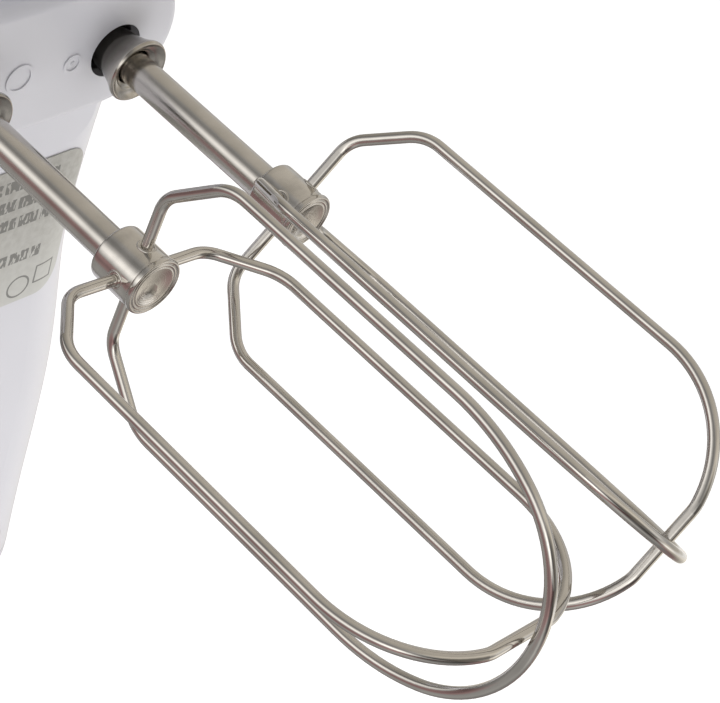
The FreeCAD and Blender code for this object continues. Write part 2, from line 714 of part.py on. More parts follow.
# ---------------------------------------------------------------- controls
eject_stem_half = 3.0
yoke_y = (18.0, 21.5)
yoke_pin_radius = shaft_radius - 1.0
partition_y = body_back_y
spring_collar_y = 47.0
eject_mid_z = axis_height


def make_eject():
    top_y = handle_back_y + eject_height
    cap = rounded_block(-eject_half_width, eject_half_width, handle_split_y + 3.2, top_y,
                        eject_mid_z - eject_half_length, eject_mid_z + eject_half_length, 6, "y")
    rim = [e for e in cap.Edges if abs(e.CenterOfMass.y - top_y) < 1e-3]
    cap = cap.makeFillet(2.0, rim)
    flange = rounded_block(-eject_half_width - 1.8, eject_half_width + 1.8, handle_split_y + 1.0,
                           handle_split_y + 3.2, eject_mid_z - eject_half_length - 1.6,
                           eject_mid_z + eject_half_length - 3.0, 5, "y")
    stem_seat = box(-eject_stem_half, eject_stem_half, handle_split_y, handle_split_y + 7,
                    eject_mid_z - eject_stem_half, eject_mid_z + eject_stem_half)
    save("eject_button", fuse([cap, flange]).cut(stem_seat))
    stem = box(-eject_stem_half, eject_stem_half, yoke_y[1], handle_split_y + 7,
               eject_mid_z - eject_stem_half, eject_mid_z + eject_stem_half)
    ledge = rod(6.4, (0, spring_collar_y, eject_mid_z), (0, spring_collar_y + 2, eject_mid_z))
    yoke = rounded_block(-half_pitch - 4, half_pitch + 4, yoke_y[0], yoke_y[1],
                         eject_mid_z - 4, eject_mid_z + 4, 3.5, "y")
    pins = [rod(yoke_pin_radius, (s * half_pitch, boss_face_y + beater_inset + face_gap, axis_height),
                (s * half_pitch, yoke_y[0] + 0.5, axis_height)) for s in (-1, 1)]
    save("ejector_yoke", fuse([stem, ledge, yoke] + pins))
    length = spring_collar_y - partition_y
    spring = coil_spring(5.4, 0.5, length - 0.2, 6)
    spring.rotate(Vector(0, 0, 0), X, -90)
    spring.translate(Vector(0, partition_y + 0.1, eject_mid_z))
    save("eject_spring", spring)


def make_slider():
    top = handle_back_y + 2.6
    low, high = slider_height - slider_half_length, slider_height + slider_half_length
    cap = rounded_block(-slider_half_width, slider_half_width, handle_back_y - 0.9, top,
                        low, high, 2.5, "y")
    cap = cap.makeFillet(0.8, [e for e in cap.Edges if abs(e.CenterOfMass.y - top) < 1e-3])
    ridge_count = 5
    grooves = []
    for i in range(ridge_count - 1):
        z = low + 2 * slider_half_length * (i + 1) / ridge_count
        grooves.append(rod(0.5, (-slider_half_width + 2, top, z), (slider_half_width - 2, top, z)))
    cap = cap.cut(grooves)
    neck = box(-2.2, 2.2, handle_back_y - 8, handle_back_y - 0.9, slider_height - 2.5, slider_height + 2.5)
    save("speed_slider", fuse([cap, neck]))
    save("slider_contact", box(-4, 4, handle_back_y - 9.0, handle_back_y - 8.0,
                               slider_height - 3, slider_height + 3))


def make_turbo():
    top = handle_back_y + 3.0
    low, high = turbo_height - turbo_half_length, turbo_height + turbo_half_length
    cap = rounded_block(-turbo_half_width, turbo_half_width, handle_back_y - wall - 3.5, top,
                        low, high, 5.5, "y")
    cap = cap.makeFillet(1.2, [e for e in cap.Edges if abs(e.CenterOfMass.y - top) < 1e-3])
    flange = rounded_block(-turbo_half_width - 1.5, turbo_half_width + 1.5, handle_back_y - wall - 5.0,
                           handle_back_y - wall - 3.5, low - 1.5, high + 1.5, 6.5, "y")
    peg = rod(1.6, (0, 74.4, turbo_height), (0, handle_back_y - wall - 5.0, turbo_height))
    save("turbo_button", fuse([cap, flange, peg]))


def make_electrics():
    board_y = 66.0
    board = box(-9.5, 9.5, board_y, board_y + 1.6, handle_screw_heights[0] + 6, slider_height + 18)
    for z in handle_screw_heights:
        board = board.cut(rod(3.4, (0, board_y - 1, z), (0, board_y + 3, z)))
    save("circuit_board", board)
    switch = box(-6, 6, board_y + 1.6, 73.4, turbo_height - 8, turbo_height + 8)
    plunger_hole = rod(1.8, (0, 70.5, turbo_height), (0, 75, turbo_height))
    save("turbo_switch", switch.cut(plunger_hole))
    track = box(-6.5, 6.5, board_y + 1.6, handle_back_y - 10.0,
                slider_height - 4.5, slider_height + slider_travel + 4.5)
    save("speed_switch", track.cut(box(-4.5, 4.5, handle_back_y - 12, handle_back_y - 9,
                                       slider_height - 3.5, slider_height + slider_travel + 3.5)))
    save("suppression_capacitor", rounded_block(-9, 9, 10, 21, heel_thickness,
                                                heel_thickness + 8, 1.5, "z"))


# ---------------------------------------------------------------- housing
def screw_posts(inner_form):
    """Screw bosses of the lower and the upper housing, and what drills them."""
    lower, upper, bores, pilots = [], [], [], []
    for x, z in screw_places:
        lower.append(rod(4.2, (x, underside_y + 1, z), (x, 0, z)))
        upper.append(rod(3.4, (x, 0, z), (x, body_back_y - 1, z)))
        bores.append(rod(1.65, (x, underside_y - 2, z), (x, 1, z)))
        bores.append(rod(3.2, (x, underside_y - 2, z), (x, -12.0, z)))
        pilots.append(rod(1.25, (x, -1, z), (x, 12, z)))
    return ([p.common(inner_form) for p in lower], [p.common(inner_form) for p in upper],
            bores, pilots)


def stator_ribs(inner_form, y0, y1):
    """Cradle ribs that hold the stator between the two shells."""
    ribs = []
    for z in (stator_low_z + 4, stator_high_z - 6):
        rib = inner_form.common(box(-60, 60, y0, y1, z, z + 2))
        seat = rounded_block(-stator_half_width, stator_half_width, -stator_half_depth,
                             stator_half_depth, z - 1, z + 3, 8, "z")
        ribs.append(rib.cut(seat))
    return ribs


def shelf_ribs(inner_form, y0, y1):
    """Ribs that carry the bearing brackets and the gearbox frame."""
    shelves = []
    for (bottom, top), (half_x, half_y) in ((lower_bracket_z, lower_bracket_half),
                                            (upper_bracket_z, upper_bracket_half)):
        z0, z1 = bottom - 1, top + 1
        ring = inner_form.common(box(-60, 60, y0, y1, z0, z1))
        open_hole = rounded_block(-half_x + 2, half_x - 2, -half_y + 2, half_y - 2, z0 - 1, z1 + 1, 5, "z")
        groove = rounded_block(-half_x, half_x, -half_y, half_y, z0 + 1, z1 - 1, 6, "z")
        shelves.append(ring.cut(open_hole).cut(groove))
    return shelves


def raised_ring(x, lift, outer, inner):
    """Low moulded ring on the boss face."""
    z = axis_height + lift
    ring = rod(outer, (x, boss_face_y - ring_height, z), (x, boss_face_y + 1, z))
    return ring.cut(rod(inner, (x, boss_face_y - 1, z), (x, boss_face_y, z)))


def make_housing():
    outer = body_form(0, heel_thickness)
    inner = body_form(wall, heel_thickness - 1)
    handle = handle_form(0, handle_edge_radius)
    handle_room = handle_form(wall, handle_edge_radius - wall)
    pad = boss_pad(0, underside_y + 5.5)
    lower_post, upper_post, bores, pilots = screw_posts(inner)
    everything = 400
    front_half = box(-everything, everything, -everything, 0, -1, everything)
    back_half = box(-everything, everything, 0, handle_split_y, -1, everything)
    cap_half = box(-everything, everything, handle_split_y, everything, -1, everything)
    # lower housing: the underside with the boss
    pad_room = boss_pad(wall, underside_y + 12)
    lower = outer.common(front_half).cut(inner).fuse(pad)
    lower = lower.cut(pad_room)
    gear_posts = [rod(2.4, (x, underside_y + 1, z), (x, front_plate_y[0], z))
                  for x in (-half_pitch - 4.6, half_pitch + 4.6)
                  for z in (gearbox_low_z + 2.5, gearbox_high_z - 4.0)]
    lower = lower.fuse(gear_posts)
    lower = lower.fuse(lower_post + stator_ribs(inner, -everything, 0) + shelf_ribs(inner, -everything, 0))
    tongue = rounded_block(-tongue_half_width, tongue_half_width, underside_y - tongue_height,
                           underside_y + 1, axis_height - tongue_drop, axis_height,
                           tongue_corner_radius, "y")
    lower = lower.fuse([tongue.cut(pad_room)] + [raised_ring(*ring) for ring in boss_rings]).cut(bores)
    for side in (-1, 1):
        lower = lower.cut(rod(socket_hole_radius, (side * half_pitch, boss_face_y - 1, axis_height),
                              (side * half_pitch, boss_face_y + wall + 4, axis_height)))
    vents = []
    for i in range(5):
        z = vent_start + vent_pitch * i
        vents.append(rounded_block(-13, 13, underside_y - 2, underside_y + wall + 2, z, z + vent_width,
                                   vent_width / 2 - 0.05, "y"))
    lower = lower.cut(vents).removeSplitter()
    save("lower_housing", lower)
    # upper housing: the top side with the finger side of the handle
    shell = outer.common(back_half).cut(inner)
    bar = handle.common(back_half).cut(handle_room).cut(inner)
    side_vents = []
    for i in range(6):
        z = vent_start + vent_pitch * i
        side_vents.append(rounded_block(-60, 60, 4, 19, z, z + vent_width, vent_width / 2 - 0.05, "x"))
    shell = shell.cut(side_vents)
    wire_way = box(-8, 8, body_back_y - wall - 1, body_back_y + 2, 13, 27)
    shell = shell.cut(wire_way)
    stem_way = box(-eject_stem_half - sliding_gap, eject_stem_half + sliding_gap, body_back_y - wall - 2,
                   body_back_y + 2, eject_mid_z - eject_stem_half - sliding_gap,
                   eject_mid_z + eject_stem_half + sliding_gap)
    shell = shell.cut(stem_way)
    upper = shell.fuse([bar] + upper_post + stator_ribs(inner, 0, everything)
                       + shelf_ribs(inner, 0, everything))
    screw_bores, cover_posts, cover_pilots = [], [], []
    for z in handle_screw_heights:
        screw_bores.append(rod(1.65, (0, gap_back_y - 6, z), (0, gap_back_y + 6, z)))
        screw_bores.append(rod(3.2, (0, gap_back_y - 6, z), (0, gap_back_y + 1.2, z)))
        cover_posts.append(rod(3.0, (0, gap_back_y + 3.6, z), (0, handle_back_y - wall - 0.5, z)))
        cover_pilots.append(rod(1.25, (0, gap_back_y, z), (0, gap_back_y + 17, z)))
    upper = upper.cut(pilots + screw_bores)
    save("upper_housing", upper.removeSplitter())
    # handle cover
    cover = handle.common(cap_half).cut(handle_room)
    inside_y, outside_y = handle_back_y - 15, handle_back_y + 15
    openings = [
        rounded_block(-eject_half_width - sliding_gap, eject_half_width + sliding_gap, inside_y, outside_y,
                      eject_mid_z - eject_half_length - sliding_gap,
                      eject_mid_z + eject_half_length + sliding_gap, 6 + sliding_gap, "y"),
        rounded_block(-slider_half_width - 1.5, slider_half_width + 1.5, handle_back_y - 1.2, 120,
                      slider_height - slider_half_length - 1,
                      slider_height + slider_half_length + slider_travel + 1, 3, "y"),
        rounded_block(-2.2 - sliding_gap, 2.2 + sliding_gap, inside_y, outside_y,
                      slider_height - 2.5 - sliding_gap,
                      slider_height + 2.5 + slider_travel + sliding_gap, 1, "y"),
        rounded_block(-turbo_half_width - sliding_gap, turbo_half_width + sliding_gap, inside_y, outside_y,
                      turbo_height - turbo_half_length - sliding_gap,
                      turbo_height + turbo_half_length + sliding_gap, 5.5 + sliding_gap, "y")]
    openings.append(rod(gland_radius, (0, inside_y, cord_height), (0, outside_y, cord_height)))
    cover = cover.cut(openings).fuse(cover_posts).cut(cover_pilots)
    save("handle_cover", cover.removeSplitter())
    return outer


def make_heel():
    plate = Part.Face(body_section(heel_thickness, 0)).extrude(Vector(0, 0, -heel_thickness))
    foot_rim = [e for e in plate.Edges if abs(e.CenterOfMass.z) < 1e-3]
    save("heel_rest", plate.makeFillet(heel_edge_radius, foot_rim))


def make_label(body):
    skin = body_form(-label_thickness, heel_thickness)
    area = rounded_block(-label_half_width, label_half_width, underside_y - 1, underside_y + 4,
                         axis_height - label_drop[1], axis_height - label_drop[0], 6, "y")
    save("rating_label", skin.common(area).cut(body))


def make_gland():
    """Tapered cord inlet with bend-relief grooves; its cord isn't part of the model."""
    start, end = handle_back_y - 8.0, handle_back_y - 8.0 + gland_length
    body = rod(gland_radius - seat_gap, (0, start, cord_height), (0, start + 4.5, cord_height))
    taper = Part.makeCone(gland_radius - seat_gap, 4.8, gland_length - 4.5,
                          Vector(0, start + 4.5, cord_height), Y)
    lip = rod(gland_radius + 1.2, (0, start, cord_height), (0, start + 1.6, cord_height))
    gland = fuse([body, taper, lip])
    for i in range(3):
        y = start + 7.0 + 2.2 * i
        gland = gland.cut(tube(gland_radius + 1, 4.4, (0, y, cord_height), (0, y + 1.0, cord_height)))
    hole = rod(cord_hole_radius, (0, start - 1, cord_height), (0, end + 1, cord_height))
    save("cord_gland", gland.cut(hole))


def make_screws():
    screws = []
    for x, z in screw_places:
        shank = rod(1.2, (x, -12.0, z), (x, 11, z))
        head = rod(2.9, (x, -14.2, z), (x, -12.0, z))
        screws.append(shank.fuse(head))
    save("housing_screws", group(screws))
    grip_screws = []
    for z in handle_screw_heights:
        shank = rod(1.2, (0, gap_back_y + 1.2, z), (0, gap_back_y + 14, z))
        head = rod(2.9, (0, gap_back_y - 0.6, z), (0, gap_back_y + 1.2, z))
        grip_screws.append(shank.fuse(head))
    save("handle_screws", group(grip_screws))


def main():
    make_beaters()
    make_spindles()
    make_gearbox()
    make_rotor()
    make_stator()
    make_motor_mounts()
    body = make_housing()
    make_eject()
    make_slider()
    make_turbo()
    make_electrics()
    make_heel()
    make_label(body)
    make_gland()
    make_screws()


main()
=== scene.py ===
"""Looks of the hand mixer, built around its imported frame.  Metres, the frame's own axes:
+Z from the heel to the nose, the beaters point along -Y, X is the width."""

import json
import math

import bmesh
import bpy
from mathutils import Matrix, Vector


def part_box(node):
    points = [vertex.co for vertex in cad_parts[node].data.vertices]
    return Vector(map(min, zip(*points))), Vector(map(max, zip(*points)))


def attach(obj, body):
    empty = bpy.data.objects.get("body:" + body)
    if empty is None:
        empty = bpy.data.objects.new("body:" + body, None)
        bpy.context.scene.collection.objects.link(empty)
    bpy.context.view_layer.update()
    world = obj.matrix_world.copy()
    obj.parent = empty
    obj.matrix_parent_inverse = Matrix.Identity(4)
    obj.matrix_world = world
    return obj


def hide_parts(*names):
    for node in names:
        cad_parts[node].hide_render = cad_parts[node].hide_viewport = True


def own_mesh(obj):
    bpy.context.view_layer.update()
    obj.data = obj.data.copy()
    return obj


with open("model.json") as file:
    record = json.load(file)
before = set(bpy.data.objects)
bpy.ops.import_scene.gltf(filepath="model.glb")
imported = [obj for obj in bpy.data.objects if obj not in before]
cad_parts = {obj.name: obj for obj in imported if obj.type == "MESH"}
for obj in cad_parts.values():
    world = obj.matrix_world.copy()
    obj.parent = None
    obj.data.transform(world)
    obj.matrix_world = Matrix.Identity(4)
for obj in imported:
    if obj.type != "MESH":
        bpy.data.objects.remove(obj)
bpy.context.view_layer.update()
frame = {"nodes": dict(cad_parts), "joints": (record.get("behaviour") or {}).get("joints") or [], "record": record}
nodes = frame["nodes"]
mm = 0.001
MIX_FACTOR, MIX_A, MIX_B, MIX_RESULT = 0, 6, 7, 2      # colour sockets of a Mix node


# ---------------------------------------------------------------- materials
def add_node(tree, kind, inputs=None, **settings):
    """New node with its settings; each input is linked from a socket or set to a value."""
    made = tree.nodes.new(kind)
    for key, value in settings.items():
        setattr(made, key, value)
    for key, value in (inputs or {}).items():
        if isinstance(value, bpy.types.NodeSocket):
            tree.links.new(value, made.inputs[key])
        else:
            made.inputs[key].default_value = value
    return made


def opaque(colour):
    """A colour's three channels with full alpha; a socket passes as it is."""
    return colour if isinstance(colour, bpy.types.NodeSocket) else (*colour, 1)


class Recipe:
    """Node material with one Principled shader; fixed values sit on its own sockets."""

    def __init__(self, name, colour, roughness, **values):
        self.material = bpy.data.materials.new(name)
        self.material.use_nodes = True
        self.tree = self.material.node_tree
        self.shader = self.tree.nodes["Principled BSDF"]
        self.shader.inputs["Base Color"].default_value = opaque(colour)
        self.shader.inputs["Roughness"].default_value = roughness
        for socket, value in values.items():
            self.shader.inputs[socket.replace("_", " ")].default_value = value

    def node(self, kind, inputs=None, **settings):
        return add_node(self.tree, kind, inputs, **settings)

    def link(self, source, socket):
        self.tree.links.new(source, self.shader.inputs[socket])

    def place(self, scale=(1, 1, 1), location=(0, 0, 0)):
        """Object coordinates through one Mapping."""
        coordinates = self.node("ShaderNodeTexCoord")
        mapping = self.node("ShaderNodeMapping", {"Vector": coordinates.outputs["Object"],
                                                  "Scale": scale, "Location": location})
        return mapping.outputs["Vector"]

    def noise(self, vector, scale, detail=3.0, roughness=0.5):
        made = self.node("ShaderNodeTexNoise", {"Vector": vector, "Scale": scale,
                                                "Detail": detail, "Roughness": roughness})
        return made.outputs["Fac"]

    def spread(self, value, low, high, start=0.0, end=1.0):
        made = self.node("ShaderNodeMapRange", {"Value": value, "From Min": start, "From Max": end,
                                                "To Min": low, "To Max": high})
        return made.outputs["Result"]

    def tint(self, value, colour_a, colour_b, start=0.3, end=0.7):
        ramp = self.node("ShaderNodeValToRGB", {"Fac": value})
        for element, place, colour in zip(ramp.color_ramp.elements, (start, end), (colour_a, colour_b)):
            element.position = place
            element.color = opaque(colour)
        return ramp.outputs["Color"]

    def maths(self, operation, *values):
        made = self.node("ShaderNodeMath", dict(enumerate(values)), operation=operation)
        return made.outputs["Value"]

    def mixed(self, factor, colour_a, colour_b):
        made = self.node("ShaderNodeMix", {MIX_FACTOR: factor, MIX_A: opaque(colour_a),
                                           MIX_B: opaque(colour_b)}, data_type="RGBA")
        return made.outputs[MIX_RESULT]

    def bump(self, height, strength, distance, normal=None):
        made = self.node("ShaderNodeBump", {"Height": height, "Strength": strength, "Distance": distance})
        if normal:
            self.tree.links.new(normal, made.inputs["Normal"])
        return made.outputs["Normal"]


def shade(colour, factor):
    return tuple(channel * factor for channel in colour)


def flow_shade(r, place, colour):
    """Faint clouds that the flow of the plastic leaves."""
    return r.tint(r.noise(place, 22, 2), shade(colour, 0.965), colour)


def plastic_skin(r, place, roughness, under=None):
    """Uneven gloss, a slow wave and a fine skin texture, over any grooves."""
    r.link(r.spread(r.noise(place, 140, 4), roughness * 0.85, roughness * 1.2), "Roughness")
    wave = r.bump(r.noise(place, 45, 1), 0.25, 0.0002, under)
    r.link(r.bump(r.noise(place, 2600, 2), 0.35, 0.00003, wave), "Normal")


def moulded_plastic(name, colour, roughness):
    r = Recipe(name, colour, roughness)
    place = r.place()
    r.link(flow_shade(r, place, colour), "Base Color")
    plastic_skin(r, place, roughness)
    return r.material


def parted_shell(name, colour, roughness, seams, heel_top):
    """Moulded plastic with fine shut lines where its halves, handle cover and heel plate meet."""
    line_half, line_shade = 0.11 * mm, 0.42
    r = Recipe(name, colour, roughness, Coat_Weight=0.1, Coat_Roughness=0.12)
    place = r.place()
    split = r.node("ShaderNodeSeparateXYZ", {"Vector": place})
    above_heel = r.maths("GREATER_THAN", split.outputs["Z"], heel_top)
    line = r.maths("COMPARE", split.outputs["Z"], heel_top, line_half)
    for y in seams:
        cut = r.maths("COMPARE", split.outputs["Y"], y, line_half)
        line = r.maths("MAXIMUM", line, r.maths("MULTIPLY", cut, above_heel))
    r.link(r.mixed(line, flow_shade(r, place, colour), shade(colour, line_shade)), "Base Color")
    groove = r.bump(r.maths("SUBTRACT", 1.0, line), 0.6, 0.00015)
    plastic_skin(r, place, roughness, groove)
    return r.material


def drawn_steel(name, colour, roughness, scale=(900, 40, 900)):
    """Drawn stainless wire and tube: fine lines along the length and a few darker marks."""
    r = Recipe(name, colour, roughness, Metallic=1.0)
    lines = r.noise(r.place(scale=scale), 1, 3)
    stain = r.noise(r.place(), 120, 3)
    r.link(r.tint(stain, shade(colour, 0.86), colour, 0.35, 0.62), "Base Color")
    r.link(r.spread(lines, roughness * 0.7, roughness * 1.5), "Roughness")
    r.link(r.bump(lines, 0.18, 0.00004), "Normal")
    return r.material


def pressed_steel(name, colour, roughness, centre, front, pock):
    """Turned end of a beater: rings around its axis and a dark spot-weld beside the middle."""
    ring_scale, weld_edge, ragged_edge = 3200, (0.8 * mm, 2.1 * mm), 1.1 * mm
    face_depth = (front + 1.2 * mm, front + 1.6 * mm)
    r = Recipe(name, colour, roughness, Metallic=1.0)
    around = r.place(location=(-centre[0], 0, -centre[1]))
    split = r.node("ShaderNodeSeparateXYZ", {"Vector": around})
    across = r.node("ShaderNodeCombineXYZ", {"X": split.outputs["X"], "Y": split.outputs["Z"]})
    distance = r.node("ShaderNodeVectorMath", {0: across.outputs["Vector"]}, operation="LENGTH")
    rings = r.node("ShaderNodeTexNoise", {"W": distance.outputs["Value"], "Scale": ring_scale, "Detail": 2},
                   noise_dimensions="1D")
    beside = r.node("ShaderNodeVectorMath", {0: across.outputs["Vector"], 1: (pock[0], pock[1], 0)},
                    operation="DISTANCE")
    stain = r.noise(r.place(), 260, 4)
    ragged = r.maths("MULTIPLY_ADD", stain, ragged_edge, beside.outputs["Value"])
    behind_face = r.spread(split.outputs["Y"], 0.0, 1.0, *face_depth)
    clear = r.maths("MAXIMUM", r.spread(ragged, 0.0, 1.0, *weld_edge), behind_face)
    worn = r.tint(stain, shade(colour, 0.82), colour, 0.35, 0.6)
    r.link(r.mixed(clear, shade(colour, 0.22), worn), "Base Color")
    r.link(r.spread(rings.outputs["Fac"], roughness * 0.7, roughness * 1.5, 0.3, 0.7), "Roughness")
    grooves = r.bump(rings.outputs["Fac"], 0.35, 0.00005)
    r.link(r.bump(clear, 0.5, 0.0003, grooves), "Normal")
    return r.material


def darkened_neck(name, colour, roughness, front):
    """Collar steel with painted shade: dark where the neck stands in its socket and bright at the rim."""
    shade_start, full_shade_start = front + 0.8 * mm, front + 4.2 * mm
    r = Recipe(name, colour, roughness, Metallic=1.0)
    place = r.place()
    split = r.node("ShaderNodeSeparateXYZ", {"Vector": place})
    # painted shade: the base colour darkens with depth into the socket, from the rim inwards
    bright = r.spread(split.outputs["Y"], 1.0, 0.0, shade_start, full_shade_start)
    stain = r.tint(r.noise(place, 300, 4), shade(colour, 0.7), colour, 0.35, 0.62)
    r.link(r.mixed(bright, shade(colour, 0.27), stain), "Base Color")
    r.link(r.bump(r.noise(r.place(scale=(300, 300, 300)), 1, 3), 0.18, 0.00004), "Normal")
    return r.material


def rating_foil(name, top, half_width):
    """Silver-grey foil with rows of plain broken bars, a circle and a square, and painted shade and reflection:
    darker at the top, lighter towards the foot.
    Its pattern is laid out in millimetres, x from the middle and z from the top edge."""
    row_height, first_row_foot, side_margin = 4.8, 6.6, 7.0
    bar_length, bar_gap, bar_stretch, stroke_level, ink_strength = 22.0, 1.05, 3.0, 0.43, 0.74
    rows_top, rows_foot, empty_row = row_height, -4 * row_height, -2.5 * row_height
    circle_x, circle_z, circle_radius, circle_line = 12.7, -31.8, 2.5, 0.22
    square_x, square_z, square_half, square_line = 18.6, -30.2, 2.1, 0.2
    painted_light_foot, painted_light_top = -36.0, -8.0
    shaded_foil, lit_foil, pale_foil = (0.40, 0.39, 0.36), (0.62, 0.62, 0.59), (0.7, 0.7, 0.67)
    ink_colour = (0.12, 0.12, 0.115)

    r = Recipe(name, (0.5, 0.5, 0.47), 0.38, Metallic=0.15)
    place = r.place(scale=(1 / mm, 1 / mm, 1 / mm), location=(0, 0, -top / mm))
    split = r.node("ShaderNodeSeparateXYZ", {"Vector": place})
    x, z = split.outputs["X"], split.outputs["Z"]
    row = r.maths("ADD", z, first_row_foot)
    page = r.node("ShaderNodeCombineXYZ", {"X": r.maths("MULTIPLY", x, bar_stretch), "Y": row})
    bars = r.node("ShaderNodeTexBrick", {
        "Vector": page.outputs["Vector"], "Scale": 1.0, "Mortar Size": bar_gap, "Mortar Smooth": 0.1,
        "Brick Width": bar_length, "Row Height": row_height}, offset=0.37, squash=0.7, squash_frequency=2)
    strokes = r.node("ShaderNodeTexNoise", {"Vector": page.outputs["Vector"], "Scale": 0.55, "Detail": 1.0})
    ink = r.maths("SUBTRACT", 1.0, bars.outputs["Fac"])
    for kept in (r.maths("GREATER_THAN", strokes.outputs["Fac"], stroke_level),
                 r.maths("GREATER_THAN", row, rows_foot),
                 r.maths("LESS_THAN", row, rows_top),
                 r.maths("SUBTRACT", 1.0, r.maths("COMPARE", row, empty_row, row_height / 2)),
                 r.maths("COMPARE", x, 0.0, half_width / mm - side_margin)):
        ink = r.maths("MULTIPLY", ink, kept)
    circle = r.maths("SQRT", r.maths("ADD", r.maths("POWER", r.maths("SUBTRACT", x, circle_x), 2.0),
                                     r.maths("POWER", r.maths("SUBTRACT", z, circle_z), 2.0)))
    square = r.maths("MAXIMUM", r.maths("ABSOLUTE", r.maths("SUBTRACT", x, square_x)),
                     r.maths("ABSOLUTE", r.maths("SUBTRACT", z, square_z)))
    ink = r.maths("MAXIMUM", ink, r.maths("COMPARE", circle, circle_radius, circle_line))
    ink = r.maths("MAXIMUM", ink, r.maths("COMPARE", square, square_half, square_line))
    # painted shade and reflection: the foil colour is darker at the top and lighter towards the foot
    foil = r.mixed(r.spread(z, 1.0, 0.0, painted_light_foot, painted_light_top), shaded_foil, lit_foil)
    grain = r.noise(place, 0.8, 4)
    foil = r.mixed(r.spread(grain, 0.0, 0.3, 0.35, 0.65), foil, pale_foil)
    r.link(r.mixed(r.maths("MULTIPLY", ink, ink_strength), foil, ink_colour), "Base Color")
    r.link(r.spread(grain, 0.3, 0.48), "Roughness")
    return r.material


bright_steel = (0.66, 0.635, 0.60)
cover_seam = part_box("handle_cover")[0][1]
white_shell = parted_shell("white_shell", (0.74, 0.735, 0.775), 0.32, (0.0, cover_seam),
                           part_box("heel_rest")[1][2])
grey_control = moulded_plastic("grey_control", (0.42, 0.43, 0.46), 0.42)
black_plastic = moulded_plastic("black_plastic", (0.03, 0.03, 0.033), 0.45)
nylon = moulded_plastic("nylon", (0.82, 0.8, 0.72), 0.4)
cord_rubber = moulded_plastic("cord_rubber", (0.6, 0.6, 0.63), 0.6)
board_green = moulded_plastic("board_green", (0.05, 0.2, 0.09), 0.35)
carbon = moulded_plastic("carbon", (0.03, 0.03, 0.032), 0.6)
label_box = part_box("rating_label")
label_silver = rating_foil("label_silver", label_box[1][2], label_box[1][0])
wire_steel = drawn_steel("wire_steel", bright_steel, 0.085)
stem_steel = drawn_steel("stem_steel", (0.62, 0.595, 0.56), 0.19)
zinc_steel = drawn_steel("zinc_steel", (0.62, 0.64, 0.67), 0.3)
bronze = drawn_steel("bronze", (0.6, 0.36, 0.18), 0.35)
lamination = drawn_steel("lamination", (0.25, 0.26, 0.28), 0.4, scale=(30, 30, 2500))
copper_wire = drawn_steel("copper_wire", (0.7, 0.27, 0.12), 0.3, scale=(60, 60, 2500))

finish_of_slot = {
    "white_shell": white_shell, "grey_control": grey_control, "label_silver": label_silver,
    "polished_steel": wire_steel, "turned_steel": stem_steel, "zinc_steel": zinc_steel,
    "bronze": bronze, "nylon": nylon, "black_plastic": black_plastic, "lamination": lamination,
    "copper_wire": copper_wire, "commutator_copper": copper_wire, "carbon": carbon,
    "board_green": board_green, "cord_rubber": cord_rubber}
slot_of_node = {s["node"]: s["material_slot"] for s in frame["record"]["subparts"]}
for node_name, node in nodes.items():
    node.data.materials.clear()
    node.data.materials.append(finish_of_slot[slot_of_node[node_name]])


# ---------------------------------------------------------------- pressed ends of the beaters
def finished(name, bm, material, body):
    """Turns a bmesh into a piece that rides on a body."""
    bmesh.ops.remove_doubles(bm, verts=bm.verts, dist=1e-6)
    bmesh.ops.recalc_face_normals(bm, faces=bm.faces)
    for face in bm.faces:
        face.smooth = True
    mesh = bpy.data.meshes.new(name)
    bm.to_mesh(mesh)
    bm.free()
    mesh.materials.append(material)
    piece = bpy.data.objects.new(name, mesh)
    bpy.context.scene.collection.objects.link(piece)
    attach(piece, body)
    return piece


def rounded(piece, levels=2):
    """Subdivision keeps the pressed edges soft."""
    modifier = piece.modifiers.new("soft_edges", "SUBSURF")
    modifier.levels = modifier.render_levels = levels


def spun(profile, centre, closed, steps=48):
    """Profile of (radius, y) pairs turned around a beater axis."""
    bm = bmesh.new()
    verts = [bm.verts.new((centre[0] + radius, y, centre[1])) for radius, y in profile]
    edges = [bm.edges.new(pair) for pair in zip(verts, verts[1:])]
    if closed:
        edges.append(bm.edges.new((verts[-1], verts[0])))
    bmesh.ops.spin(bm, geom=verts + edges, cent=(centre[0], 0, centre[1]), axis=(0, 1, 0),
                   dvec=(0, 0, 0), angle=math.tau, steps=steps, use_merge=True)
    return bm


def beater_centre(number):
    low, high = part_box("beater_%d_shaft" % number)
    return (low[0] + high[0]) / 2, (low[2] + high[2]) / 2


def half_width(node):
    low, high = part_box(node)
    return (high[0] - low[0]) / 2


